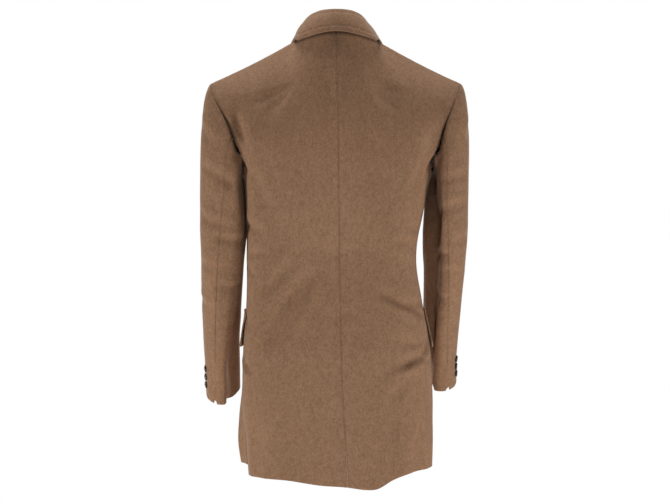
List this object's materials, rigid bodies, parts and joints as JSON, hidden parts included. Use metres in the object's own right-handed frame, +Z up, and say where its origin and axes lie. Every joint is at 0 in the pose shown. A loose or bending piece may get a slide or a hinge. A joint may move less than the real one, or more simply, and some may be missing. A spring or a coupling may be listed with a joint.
{
  "type": "double-breasted blazer",
  "caption": "Long double-breasted wool blazer with peak lapels, two-piece sleeves, hip pocket flaps and side vents, filled out and hollow.",
  "frame": {"origin": "centre of the neck opening, level with the base of the neck, where the wearer's shoulders hold the blazer up", "axes": "+Z up, from the hem to the collar; -Y the way the front faces; +X the wearer's left"},
  "size_m": [0.4917, 0.276, 0.8498],
  "materials": {
    "camel_wool": "felted wool coating, camel brown, soft short nap, no shine",
    "collar_wool": "the same felted wool on the collar, pressed a little smoother",
    "horn": "dark brown horn-look resin, polished"
  },
  "bodies": {
    "root": {"back_left": "camel_wool", "side_left": "camel_wool", "front_left": "camel_wool", "lapel_left": "camel_wool", "top_sleeve_left": "camel_wool", "under_sleeve_left": "camel_wool", "pocket_flap_left": "camel_wool", "back_right": "camel_wool", "side_right": "camel_wool", "front_right": "camel_wool", "lapel_right": "camel_wool", "top_sleeve_right": "camel_wool", "under_sleeve_right": "camel_wool", "pocket_flap_right": "camel_wool", "collar_stand": "collar_wool", "collar_fall": "collar_wool", "button_front_1": "horn", "button_front_2": "horn", "button_front_3": "horn", "button_front_4": "horn", "button_front_5": "horn", "button_front_6": "horn", "cuff_button_left_1": "horn", "cuff_button_left_2": "horn", "cuff_button_left_3": "horn", "cuff_button_right_1": "horn", "cuff_button_right_2": "horn", "cuff_button_right_3": "horn"}
  },
  "joints": []
}
